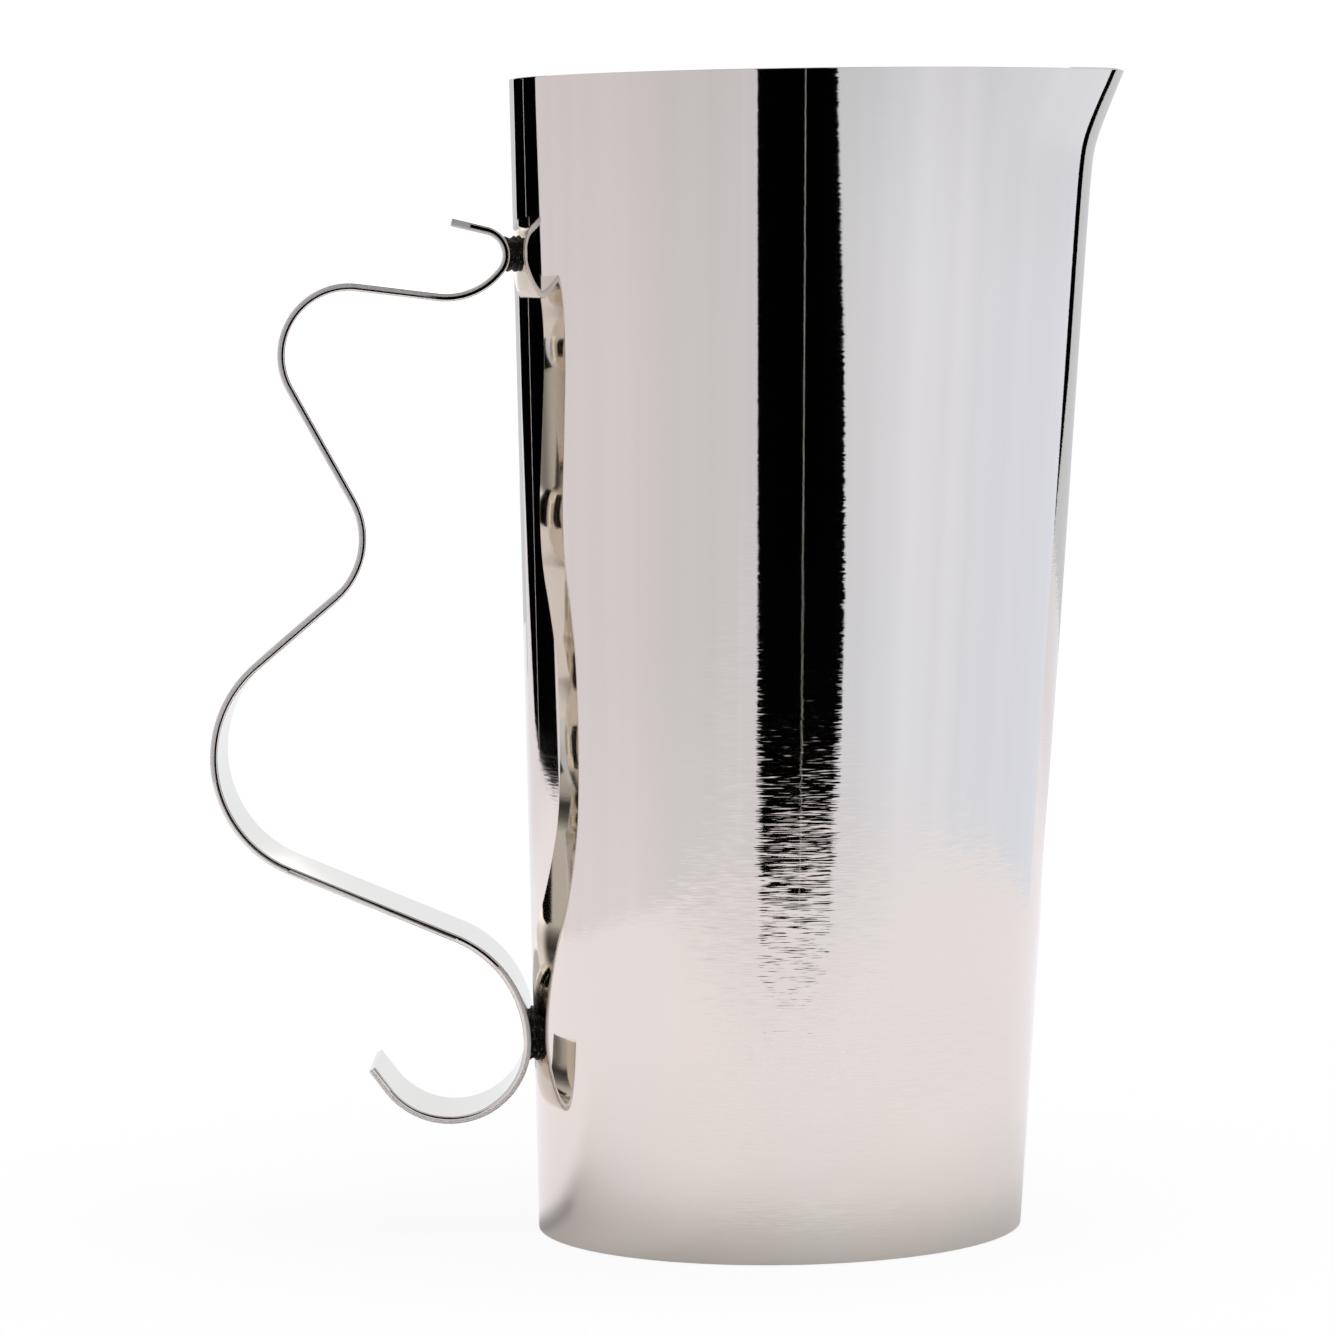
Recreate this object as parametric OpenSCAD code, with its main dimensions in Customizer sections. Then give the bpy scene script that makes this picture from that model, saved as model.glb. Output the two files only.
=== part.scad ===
// Cocktail pitcher of polished sheet steel: a leaning round wall with a broad flared
// pouring lip, a flat base let into it, and a handle bent from one flat strip.
// Millimetres. +Z is up, +X runs from the handle to the lip, and the origin is the
// centre of the base's underside.

/* [Body] */
// Height of the body from the table to the rim
body_h = 200; // [150:1:260]
// Outer diameter of the wall at its foot
base_d = 84.4; // [70:0.2:110]
// Outer diameter of the wall at the rim, without the lip
rim_d = 101.6; // [86:0.2:130]
// How far the rim's centre stands towards the lip, over the base's centre
lean = 6.5; // [0:0.5:15]
// Thickness of the wall
wall_t = 1; // [0.6:0.1:2]
// Radius of the rounded outer edge at the foot
foot_r = 0.4; // [0.1:0.1:0.5]

/* [Pouring lip] */
// How far the lip's tip stands out past the plain wall
lip_out = 4.6; // [0:0.2:10]
// Depth below the rim at which the lip turns outwards
lip_h = 12.8; // [6:0.2:30]
// Length over which the wall eases into the lip
lip_ease = 3; // [1:0.5:10]
// Angle of the rim that the lip takes up
lip_angle = 110; // [60:2:170]

/* [Base] */
// Thickness of the base disc
base_t = 1.2; // [0.8:0.1:3]
// Gap between the base disc's edge and the wall
base_gap = 0.1; // [0.05:0.05:0.3]
// Radius of the hollow fillet that seals the base to the wall
seam_r = 2; // [1:0.1:4]
// Thickness of that fillet where it runs out on the wall and on the base
seam_lip = 0.15; // [0.1:0.05:0.4]
// Gap between the fillet's back and the wall
seam_gap = 0.15; // [0.1:0.05:0.3]

/* [Handle strip] */
// Width of the flat strip
strip_w = 22; // [14:0.5:34]
// Thickness of the flat strip
strip_t = 1.3; // [0.8:0.1:2.4]
// Radius of the strip's dressed edges
strip_edge_r = 0.35; // [0.1:0.05:0.38]
// Length of the straight tip at the strip's upper end
tip_len = 6.3; // [2:0.1:12]
// Slope of that tip, down towards the wall
tip_slope = 14; // [0:1:30]
// Bend radius where the strip meets the wall at the top
nose_r = 4.3; // [3:0.1:8]
// How far round the tight bend goes below that joint before it widens
nose_wrap = 39; // [10:1:60]
// Bend radius of the wider curl under the upper joint
curl_r = 12; // [8:0.1:16]
// Bend radius of the shoulder over the fingers
shoulder_r = 11.8; // [8:0.1:15]
// Distance of the shoulder bend's centre from the wall
shoulder_out = 28.2; // [24:0.1:40]
// Height of the shoulder bend's centre
shoulder_z = 153; // [146:0.5:157]
// Bend radius of the waist, where the strip comes nearest the hand's middle
waist_r = 13.6; // [8:0.1:15]
// Distance of the waist bend's centre from the wall
waist_out = 40.5; // [36:0.1:46]
// Height of the waist bend's centre
waist_z = 121.7; // [119:0.5:125]
// Bend radius of the belly at the strip's widest reach
belly_r = 21; // [14:0.1:23]
// Distance of the belly bend's centre from the wall
belly_out = 32.7; // [26:0.1:40]
// Height of the belly bend's centre
belly_z = 83.5; // [78:0.5:85]
// Bend radius of the sweep that runs down to the lower joint
sweep_r = 19.9; // [15:0.1:24]
// Bend radius of the hook below the lower joint
hook_r = 13.5; // [9:0.1:15]
// How far round the hook turns
hook_turn = 144; // [90:1:170]
// Length of the straight at the hook's end
hook_len = 4.5; // [1:0.1:8]

/* [Brazed joints] */
// Height of the upper joint, where the strip touches the wall
upper_joint_z = 170; // [168:0.5:175]
// Height of the lower joint
lower_joint_z = 34; // [26:0.5:40]
// Thickness of filler between the strip and the wall, at the joint's middle
braze_gap = 0.2; // [0.15:0.05:0.8]
// Width of filler along the strip's width
braze_w = 20; // [10:0.5:24]
// Height of filler at the upper joint
upper_braze_h = 6; // [3:0.5:7]
// Height of filler at the lower joint
lower_braze_h = 8; // [4:0.5:12]
// Gap between the filler's faces and the steel on each side
braze_fit = 0.05; // [0.02:0.01:0.08]

/* [Smoothness] */
// Facets round the wall
wall_sides = 90; // [60:6:120]
// Rows of facets up the plain part of the wall
plain_rows = 4; // [2:1:8]
// Rows of facets up the lip
lip_rows = 10; // [6:1:16]
// Facets over the rounded rim
rim_steps = 4; // [4:2:8]
// Facets over the rounded foot
foot_steps = 2; // [2:1:4]
// Largest turn of one facet along the strip's bends, in degrees
bend_step = 7.5; // [5:0.5:12]
// Facets over each dressed edge of the strip
edge_steps = 2; // [2:1:4]

/* [Hidden] */
$fn = 96;
// Smoothness of the curves that shape the thin filler
FINE = 720;

STEEL = [0.80, 0.78, 0.77];
BASE_STEEL = [0.72, 0.71, 0.71];
FILLER = [0.45, 0.43, 0.41];

base_r = base_d / 2;
rim_r = rim_d / 2;

// The lip's outward slope, which gives lip_out at the rim
lip_slope = 2 * lip_out / (lip_h + sqrt(lip_h * lip_h + lip_ease * lip_ease));
lip_start = body_h - lip_h - 2 * lip_ease;
rim_round = wall_t / 2;

// How far the wall has flared at height z, along the lip's middle
function flare(z) =
    let (over = z - (body_h - lip_h))
    lip_slope / 2 * (over + sqrt(over * over + lip_ease * lip_ease));

// Share of the flare at an angle from the lip's middle: one there, none past the lip's ends
function lip_share(angle) =
    abs(angle) < lip_angle / 2 ? pow(cos(angle * 180 / lip_angle), 2) : 0;

// The wall's rings are circles whose centre and radius change evenly with height
function ring_x(z) = lean * z / body_h;
function ring_r(z) = base_r + (rim_r - base_r) * z / body_h;

function wall_point(angle, inset, z) =
    let (r = ring_r(z) + flare(z) * lip_share(angle) - inset)
    [ring_x(z) + r * cos(angle), r * sin(angle), z];

// The wall's section as [inset from the outer face, height], round from the foot and back
outer_rows = concat(
    [for (i = [0 : plain_rows - 1]) foot_r + (lip_start - foot_r) * i / plain_rows],
    [for (i = [0 : lip_rows]) lip_start + (body_h - rim_round - lip_start) * i / lip_rows]
);
row_count = len(outer_rows);
wall_section = concat(
    [for (i = [0 : foot_steps - 1])
        let (a = 90 * i / foot_steps)
        [foot_r * (1 - sin(a)), foot_r * (1 - cos(a))]],
    [for (z = outer_rows) [0, z]],
    [for (i = [1 : rim_steps - 1])
        let (a = 180 * i / rim_steps)
        [rim_round * (1 - cos(a)), body_h - rim_round + rim_round * sin(a)]],
    [for (i = [row_count - 1 : -1 : 1]) [wall_t, outer_rows[i]]],
    [[wall_t, 0]]
);

// The handle is laid out in a plane, as a path of headings in degrees, x out and y up
back_run = lean - rim_r + base_r;
wall_down = atan2(-body_h, -back_run);

function left_of(heading) = [-sin(heading), cos(heading)];
function wall_x(z) = back_run * z / body_h - base_r;
function off_wall(out, z) = [wall_x(z) - out, z];

// The strip's middle line where it lies against the wall
function contact(z) = off_wall((strip_t / 2 + braze_gap) / -sin(wall_down), z);

// A bend is [centre, radius, turn], with turn 1 to the left and -1 to the right
function bend_on_wall(z, r) = [contact(z) - left_of(wall_down) * r, r, -1];
function bend_point(bend, heading) = bend[0] - left_of(heading) * bend[2] * bend[1];

// Heading of the straight that runs from one bend to the next
function straight_heading(a, b) =
    let (d = b[0] - a[0])
    atan2(d.y, d.x) - asin((b[2] * b[1] - a[2] * a[1]) / norm(d));

// Degrees turned from one heading to another, always positive
function turned(turn, from, to) =
    let (t = turn * (to - from))
    t - 360 * floor(t / 360);

nose = bend_on_wall(upper_joint_z, nose_r);
curl_start = wall_down - nose_wrap;
curl = [nose[0] + left_of(curl_start) * (nose_r - curl_r), curl_r, -1];
shoulder = [off_wall(shoulder_out, shoulder_z), shoulder_r, 1];
waist = [off_wall(waist_out, waist_z), waist_r, -1];
belly = [off_wall(belly_out, belly_z), belly_r, 1];
sweep = bend_on_wall(lower_joint_z, sweep_r);
hook = bend_on_wall(lower_joint_z, hook_r);

bends = [nose, curl, shoulder, waist, belly, sweep, hook];
last_bend = len(bends) - 1;
headings = [
    -tip_slope,
    curl_start,
    straight_heading(curl, shoulder),
    straight_heading(shoulder, waist),
    straight_heading(waist, belly),
    straight_heading(belly, sweep),
    wall_down,
    wall_down - hook_turn
];

// Where each bend starts: with its first point, unless the bend before it ends there
function first_step(i) =
    i > 0 && norm(bend_point(bends[i - 1], headings[i]) - bend_point(bends[i], headings[i])) < strip_t / 100 ? 1 : 0;

function along(heading) = [cos(heading), sin(heading)];

// The strip's middle line as [point, heading], from its tip to the hook's end
tip_end = bend_point(nose, headings[0]);
hook_end = bend_point(hook, headings[last_bend + 1]);
strip_path = concat(
    [[tip_end - tip_len * along(headings[0]), headings[0]]],
    [for (i = [0 : last_bend])
        let (
            turn = turned(bends[i][2], headings[i], headings[i + 1]),
            steps = ceil(turn / bend_step)
        )
        for (k = [first_step(i) : steps])
            let (heading = headings[i] + bends[i][2] * turn * k / steps)
            [bend_point(bends[i], heading), heading]],
    [[hook_end + hook_len * along(headings[last_bend + 1]), headings[last_bend + 1]]]
);

// The strip cut across: thickness along x, width along y, with rounded corners
strip_section = [for (corner = [0 : 3], k = [0 : edge_steps])
    let (
        a = 90 * (corner + k / edge_steps),
        side = [corner == 0 || corner == 3 ? 1 : -1, corner < 2 ? 1 : -1],
        flat = [strip_t / 2 - strip_edge_r, strip_w / 2 - strip_edge_r]
    )
    [side.x * flat.x + strip_edge_r * cos(a), side.y * flat.y + strip_edge_r * sin(a)]];

// Triangles between rows of points, each row a closed ring of so many sides
function skin(bands, rows, sides) = [for (i = [0 : bands - 1], j = [0 : sides - 1])
    let (
        next_row = (i + 1) % rows,
        next = (j + 1) % sides,
        a = i * sides + j,
        b = i * sides + next,
        c = next_row * sides + next,
        d = next_row * sides + j
    )
    each [[a, b, c], [a, c, d]]];

module body_wall() {
    rows = len(wall_section);
    points = [for (s = wall_section, j = [0 : wall_sides - 1])
        wall_point(180 - 360 * j / wall_sides, s[0], s[1])];
    color(STEEL) polyhedron(points, skin(rows, rows, wall_sides), convexity = 6);
}

module base_disc() {
    color(BASE_STEEL) cylinder(h = base_t, r = base_r - wall_t - base_gap);
}

module base_seam() {
    side = seam_r + seam_lip;
    inner = base_r - wall_t - seam_gap - side;
    color(FILLER) rotate_extrude() difference() {
        translate([inner, base_t]) square(side);
        translate([inner, base_t + side]) circle(seam_r);
    }
}

module handle_strip() {
    rows = len(strip_path);
    sides = len(strip_section);
    points = [for (at = strip_path, s = strip_section)
        let (p = at[0] + left_of(at[1]) * s.x)
        [p.x, s.y, p.y]];
    ends = [
        [for (j = [sides - 1 : -1 : 0]) j],
        [for (j = [0 : sides - 1]) (rows - 1) * sides + j]
    ];
    color(STEEL) polyhedron(points, concat(skin(rows - 1, rows, sides), ends), convexity = 10);
}

// Half of a brazed joint: filler between the round wall and one bend of the strip
module filler_half(joint_z, bend, low, high) {
    reach = strip_t + braze_gap + braze_w;
    bulge = -back_run / body_h;
    difference() {
        translate([contact(joint_z).x, -braze_w / 2, joint_z + low]) cube([reach, braze_w, high - low]);
        translate([ring_x(joint_z), 0, joint_z - braze_w])
            cylinder(
                h = 2 * braze_w,
                r1 = ring_r(joint_z) + braze_fit - bulge * braze_w,
                r2 = ring_r(joint_z) + braze_fit + bulge * braze_w,
                $fn = FINE
            );
        translate([bend[0].x, 0, bend[0].y]) rotate([90, 0, 0])
            cylinder(h = 2 * braze_w, r = bend[1] + strip_t / 2 + braze_fit, center = true, $fn = FINE);
    }
}

module upper_braze() {
    color(FILLER) filler_half(upper_joint_z, nose, -upper_braze_h / 2, upper_braze_h / 2);
}

module lower_braze() {
    color(FILLER) union() {
        filler_half(lower_joint_z, sweep, 0, lower_braze_h / 2);
        filler_half(lower_joint_z, hook, -lower_braze_h / 2, 0);
    }
}

body_wall();
base_disc();
base_seam();
handle_strip();
upper_braze();
lower_braze();
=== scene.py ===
# %% [markdown]
# # A cocktail pitcher of polished sheet steel
# The pitcher is a round steel wall that leans towards its pouring lip, a flat base let into
# the foot, and a handle bent from one flat strip and brazed on at two places. The packed
# solids are loaded first, as a frame that is never moved. The lesson then makes the pieces
# that are shown, gives each its finish, and sets up the studio round them. All lengths are
# metres, +Z is up, and +X runs from the handle to the lip.

# %% Load the frame
import cmath
import math

import bpy
from mathutils import Matrix, Vector, noise


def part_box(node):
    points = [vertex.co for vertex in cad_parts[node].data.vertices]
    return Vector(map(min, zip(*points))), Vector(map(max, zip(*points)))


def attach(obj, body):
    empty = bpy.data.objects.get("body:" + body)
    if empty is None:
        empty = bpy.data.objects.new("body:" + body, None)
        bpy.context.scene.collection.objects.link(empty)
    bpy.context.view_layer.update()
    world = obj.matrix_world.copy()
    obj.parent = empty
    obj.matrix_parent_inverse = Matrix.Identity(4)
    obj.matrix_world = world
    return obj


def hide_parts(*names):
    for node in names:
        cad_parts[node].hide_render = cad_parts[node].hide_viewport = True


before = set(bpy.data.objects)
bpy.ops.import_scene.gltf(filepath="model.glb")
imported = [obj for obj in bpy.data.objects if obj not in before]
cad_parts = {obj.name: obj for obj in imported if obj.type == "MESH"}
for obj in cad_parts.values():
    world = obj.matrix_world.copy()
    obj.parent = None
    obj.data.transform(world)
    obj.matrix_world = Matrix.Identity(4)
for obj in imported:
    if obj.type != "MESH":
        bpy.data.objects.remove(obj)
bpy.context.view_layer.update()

MM = 0.001

# %% [markdown]
# ## The camera
# The view comes from the photograph: the foot and the rim are two circles of known height,
# so how flat each one looks gives the camera's height, distance and lens. A long lens from a
# metre away keeps the wall's sides almost straight. The camera is turned with three given
# small angles, because a Track To constraint could not hold the slight roll.

# %% Set up the camera
CAMERA_AT = Vector((-0.0121, -0.9804, 0.1740))
CAMERA_TURN = -0.0065
CAMERA_TILT = 0.0774
CAMERA_ROLL = -0.0141
IMAGE_SIDE = 1333
FOCAL_LENGTH_PIXELS = 5643
SENSOR_WIDTH = 36.0


def camera_axes(turn, tilt, roll):
    """The camera's right, up and backward directions for a turn right, a tilt down and a roll."""
    ahead = Vector((math.sin(turn) * math.cos(tilt), math.cos(turn) * math.cos(tilt),
                    -math.sin(tilt)))
    right = Vector((math.cos(turn), -math.sin(turn), 0))
    up = right.cross(ahead)
    rolled_right = right * math.cos(roll) + up * math.sin(roll)
    rolled_up = up * math.cos(roll) - right * math.sin(roll)
    return rolled_right, rolled_up, -ahead


camera = bpy.data.objects.new("camera", bpy.data.cameras.new("camera"))
bpy.context.scene.collection.objects.link(camera)
camera.data.sensor_width = SENSOR_WIDTH
camera.data.lens = FOCAL_LENGTH_PIXELS / IMAGE_SIDE * SENSOR_WIDTH
axes = camera_axes(CAMERA_TURN, CAMERA_TILT, CAMERA_ROLL)
camera.matrix_world = Matrix.Translation(CAMERA_AT) @ Matrix(axes).transposed().to_4x4()
bpy.context.scene.camera = camera
print("lens of", round(camera.data.lens, 1), "mm,", round(CAMERA_AT.length, 2), "m from the foot")

# %% [markdown]
# ## Nodes written as sums
# Materials and Geometry Nodes trees are easier to read as sums than as long lists of nodes
# and links. One small class wraps a socket: a sum on it adds Math nodes, and any other node
# comes from its node method, which takes the type, the settings and the sockets' values.

# %% A socket that takes part in sums
def pick(sockets, key):
    """A socket by its place, its identifier or its name."""
    if isinstance(key, int):
        return sockets[key]
    return next(s for s in sockets if key in (s.identifier, s.name))


class Wire:
    """A socket of a node tree, so that Python sums on it add Math nodes."""

    def __init__(self, tree, socket=None):
        self.tree = tree
        self.socket = socket

    def node(self, kind, settings=None, inputs=None, out=0):
        """Adds any node: its settings first, then the values or links of its sockets."""
        made = self.tree.nodes.new(kind)
        for name, value in (settings or {}).items():
            if name == "stops":
                self.set_stops(made.color_ramp, value)
            else:
                setattr(made, name, value)
        for key, value in (inputs or {}).items():
            if isinstance(value, Wire):
                self.tree.links.new(value.socket, pick(made.inputs, key))
            else:
                pick(made.inputs, key).default_value = value
        return Wire(self.tree, pick(made.outputs, out))

    @staticmethod
    def set_stops(ramp, stops):
        """Gives a colour ramp its stops, each a place from 0 to 1 and a colour."""
        while len(ramp.elements) < len(stops):
            ramp.elements.new(1)
        for element, (place, colour) in zip(ramp.elements, stops):
            element.position = place
            element.color = (*colour, 1)

    def output(self, key):
        """Another output of the node that this wire comes from."""
        return Wire(self.tree, pick(self.socket.node.outputs, key))

    def to(self, node, key):
        """Links this wire to a socket of a node that is already there."""
        self.tree.links.new(self.socket, pick(node.inputs, key))

    def math(self, operation, *values):
        return self.node("ShaderNodeMath", {"operation": operation}, dict(enumerate(values)))

    def __add__(self, other):
        return self.math("ADD", self, other)

    def __radd__(self, other):
        return self.math("ADD", other, self)

    def __sub__(self, other):
        return self.math("SUBTRACT", self, other)

    def __rsub__(self, other):
        return self.math("SUBTRACT", other, self)

    def __mul__(self, other):
        return self.math("MULTIPLY", self, other)

    def __rmul__(self, other):
        return self.math("MULTIPLY", other, self)

    def __truediv__(self, other):
        return self.math("DIVIDE", self, other)

    def __rtruediv__(self, other):
        return self.math("DIVIDE", other, self)

    def __pow__(self, other):
        return self.math("POWER", self, other)

    def __rpow__(self, other):
        return self.math("POWER", other, self)

    def __neg__(self):
        return self.math("MULTIPLY", self, -1.0)

    def __abs__(self):
        return self.math("ABSOLUTE", self)

    def vector(self, operation, *values, out=0):
        return self.node("ShaderNodeVectorMath", {"operation": operation},
                         dict(enumerate(values)), out)

    def least(self, other):
        return self.math("MINIMUM", self, other)

    def root(self):
        return self.math("SQRT", self)

    def cos(self):
        return self.math("COSINE", self)

    def sin(self):
        return self.math("SINE", self)

    def ease(self, low, high):
        """0 below low, 1 above high, with a smooth step between them."""
        return self.node("ShaderNodeMapRange", {"interpolation_type": "SMOOTHSTEP"},
                         {"Value": self, "From Min": low, "From Max": high})

    def blend(self, first, second):
        """A colour that goes from first to second as this wire goes from 0 to 1."""
        return self.node("ShaderNodeMix", {"data_type": "RGBA"},
                         {"Factor_Float": self, "A_Color": first, "B_Color": second}, "Result_Color")


print("Wire has", len([m for m in vars(Wire) if m.startswith("__r")]), "reflected operators")

# %% [markdown]
# ## Finishes: where a pattern sits
# Every finish here is worked out from Object coordinates, so the brush lines stay on the
# steel when the pitcher moves. A noise texture stretched along the brushing gives the lines:
# the three numbers of the stretch say how many cells of noise fit in a metre along X, Y and Z.

# %% Helpers for a finish
def rgba(colour):
    return (*colour, 1)


def new_finish(name, constants):
    """A material whose shader has these constant sockets, with a first wire to its tree."""
    material = bpy.data.materials.new(name)
    material.use_nodes = True
    shader = material.node_tree.nodes["Principled BSDF"]
    for socket, value in constants.items():
        shader.inputs[socket].default_value = value
    return material, shader, Wire(material.node_tree)


def place_on(start):
    """Object coordinates of the shaded point."""
    return start.node("ShaderNodeTexCoord", out="Object")


def grain(place, cells_per_metre, detail=2.0, roughness=0.5):
    """Noise from 0 to 1 with that many cells to a metre along X, Y and Z."""
    stretched = place.node("ShaderNodeMapping", {"vector_type": "POINT"},
                           {"Vector": place, "Scale": cells_per_metre})
    return place.node("ShaderNodeTexNoise", {"noise_dimensions": "3D"},
                      {"Vector": stretched, "Scale": 1.0, "Detail": detail, "Roughness": roughness})


def tipped(normal, up, aside):
    """A normal tipped up and along the wall by angles in radians, which may vary."""
    along = normal.vector("CROSS_PRODUCT", (0, 0, 1), normal)
    upward = normal.vector("CROSS_PRODUCT", normal, along)
    for direction, angle in ((upward, up), (along, aside)):
        step = normal.node("ShaderNodeVectorMath", {"operation": "SCALE"},
                           {0: direction, "Scale": angle})
        normal = normal.vector("ADD", normal, step)
    return normal.vector("NORMALIZE", normal)


def relief(height, depth, under=None):
    """A bump of that depth in metres, on top of another bump if one is given."""
    inputs = {"Height": height, "Distance": depth, "Strength": 1.0}
    if under is not None:
        inputs["Normal"] = under
    return height.node("ShaderNodeBump", None, inputs)


finish_helpers = (new_finish, place_on, grain, tipped, relief)
print("a finish is made with", ", ".join(helper.__name__ for helper in finish_helpers))

# %% [markdown]
# ## Finish: the polished wall
# The wall was brushed round and round on a lathe and then polished almost to a mirror, so a
# reflection keeps its sides sharp but breaks into fine level streaks at its ends. Roughness
# alone would blur those ends evenly, and a Bump node turns lines this fine into noise. Here
# the normal itself is tipped by a degree or so, streak by streak, and a little anisotropic
# roughness stands for the lines too fine to see. The sides were buffed again after the lip was
# raised and the handle joined. At the lower joint the outside of the wall is painted dark and
# rough: painted shade, where the gap under the strip lies in shadow. No wheel reaches the
# inside, so it stays satin: a point is inside where its normal looks back at the middle.

# %% Make the wall's finish
STEEL_WARM = (0.784, 0.722, 0.648)
STEEL_COOL = (0.768, 0.726, 0.662)
# painted shade: the wall's outside is painted dark near the lower joint, where the gap lies in
# shadow
JOINT_SHADE_COLOUR = (0.020, 0.018, 0.015)
JOINT_SHADE_AT = (-44 * MM, 0, 36 * MM)
JOINT_SHADE_REACH = (7 * MM, 13 * MM, 10 * MM)
JOINT_SHADE_GRAINS = (700, 700, 700)
JOINT_SHADE_RAGGED = 0.5
JOINT_SHADE_EDGES = (0.85, 1.3)
JOINT_SHADE_ROUGH = 0.4
WALL_ROUGH, HAIRLINES_ROUGH = 0.02, 0.04
INSIDE_ROUGH, INSIDE_LINES_ROUGH = 0.26, 0.12
WALL_STREAKS = (300, 300, 7000)
WALL_STREAK_TIP = 0.20
WALL_HAIRLINES = (60, 60, 2900)
WALL_HAIRLINE_TIP = 0.017
WALL_UNEVEN = (6 * MM, 10 * MM)
WALL_EVEN_REST = 0.3
WALL_BUFFED_LEFT = (-5 * MM, -22 * MM)
WALL_BUFFED_RIGHT = (10 * MM, 30 * MM)
WALL_BUFFED_REST = 0.12
WALL_BUFFED_LESS = 0.55
WALL_CALM = (0.10, 0.15)
WALL_CALM_REST = 0.25
WALL_WAVES = (9, 9, 3)
WALL_WAVE_DEPTH = 7e-6
WALL_CLOUDS = (22, 22, 5)
CLOUD_EDGES = (0.35, 0.65)
WALL_INSIDE = (10 * MM, -10 * MM)


def make_wall_steel():
    material, shader, start = new_finish("polished_wall", {
        "Metallic": 1.0, "Anisotropic": 0.8, "Anisotropic Rotation": 0.25})
    place = place_on(start)
    from_joint = place.vector("DIVIDE", place.vector("SUBTRACT", place, JOINT_SHADE_AT), JOINT_SHADE_REACH)
    far = place.vector("LENGTH", from_joint, out="Value")
    facing = place.vector("DOT_PRODUCT", place.vector("MULTIPLY", place, (1, 1, 0)),
                          start.node("ShaderNodeTexCoord", out="Normal"), out="Value")
    inside = facing.ease(*WALL_INSIDE)
    unshaded = (far + JOINT_SHADE_RAGGED * grain(place, JOINT_SHADE_GRAINS)).ease(*JOINT_SHADE_EDGES)
    # painted shade near the lower joint, on the outside of the wall only
    painted_joint_shade = (1 - inside) * (1 - unshaded)
    clouds = grain(place, WALL_CLOUDS).ease(*CLOUD_EDGES)
    steel = clouds.blend(rgba(STEEL_WARM), rgba(STEEL_COOL))
    painted_joint_shade.blend(steel, rgba(JOINT_SHADE_COLOUR)).to(shader, "Base Color")
    hairlines = grain(place, WALL_HAIRLINES, detail=1.0)
    polished = WALL_ROUGH + HAIRLINES_ROUGH * hairlines + JOINT_SHADE_ROUGH * painted_joint_shade
    satin = inside * (INSIDE_ROUGH + INSIDE_LINES_ROUGH * hairlines)
    (polished + satin).to(shader, "Roughness")
    waves = relief(grain(place, WALL_WAVES, detail=0.0), WALL_WAVE_DEPTH)
    streaks = grain(place, WALL_STREAKS, detail=1.0)
    x = start.node("ShaderNodeSeparateXYZ", None, {"Vector": place}, "X")
    buffed = x.ease(*WALL_BUFFED_LEFT) + WALL_BUFFED_LESS * x.ease(*WALL_BUFFED_RIGHT)
    brushed = 1 - (1 - WALL_BUFFED_REST) * buffed
    calm = 1 - (1 - WALL_CALM_REST) * x.output("Z").ease(*WALL_CALM)
    up = brushed * calm * WALL_STREAK_TIP * (streaks - 0.5)
    uneven = WALL_EVEN_REST + (1 - WALL_EVEN_REST) * x.ease(*WALL_UNEVEN)
    aside = brushed * uneven * WALL_HAIRLINE_TIP * (hairlines - 0.5)
    tipped(waves, up, aside).to(shader, "Normal")
    return material


wall_steel = make_wall_steel()
print(wall_steel.name, "has", len(wall_steel.node_tree.nodes), "nodes")

# %% [markdown]
# ## Finish: the handle strip
# The strip was polished flat before it was bent, so its fine lines run along its length and
# follow every bend. They are read from an attribute, run, which the strip's own tree stores:
# the distance along the strip. The cut edges were only dressed, so they are duller, but the
# wheel caught them at the nose and along the lower lobe, and there they are bright. A second
# attribute, skin, says how far a point lies from the middle of the thickness. With it, one
# half of an edge can be bright, and the bright half changes sides at the hook.

# %% Make the strip's finish
STRIP_WARM = (0.776, 0.722, 0.652)
STRIP_COOL = (0.745, 0.700, 0.635)
STRIP_EDGE = (0.70, 0.67, 0.63)
STRIP_HALF_WIDTH = 11.0 * MM
STRIP_EDGE_ROUND = 0.35 * MM
STRIP_LINES_ALONG = 60
STRIP_LINES_ACROSS = 2600
STRIP_LINE_DEPTH = 1.2e-6
EDGE_GRAIN = (900, 900, 900)
EDGE_GRAIN_DEPTH = 3e-6
BUFFED_NOSE = (3.2 * MM, 26 * MM)
BUFFED_LOBE = (147.6 * MM, 206 * MM)
CAUGHT = (0.02 * MM, 0.10 * MM)
CAUGHT_FROM = (26 * MM, 32 * MM)
NOSE_CAUGHT = (-0.2 * MM, -0.1 * MM)
HOOK_FROM = (208 * MM, 209 * MM)
BUFFED_FADE = 5 * MM
SHARP_FADE = 0.3 * MM
EDGE_FADE = 0.1 * MM
PIT_EDGES = (0.3, 0.7)
STRIP_ROUGH, STRIP_LINES_ROUGH = 0.05, 0.05
EDGE_ROUGH, EDGE_PITS_ROUGH = 0.34, 0.2


def stretch(run, ends):
    """1 between two lengths along the strip, with a sharp start and a slow fade."""
    return run.ease(ends[0], ends[0] + SHARP_FADE) - run.ease(ends[1], ends[1] + BUFFED_FADE)


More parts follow.
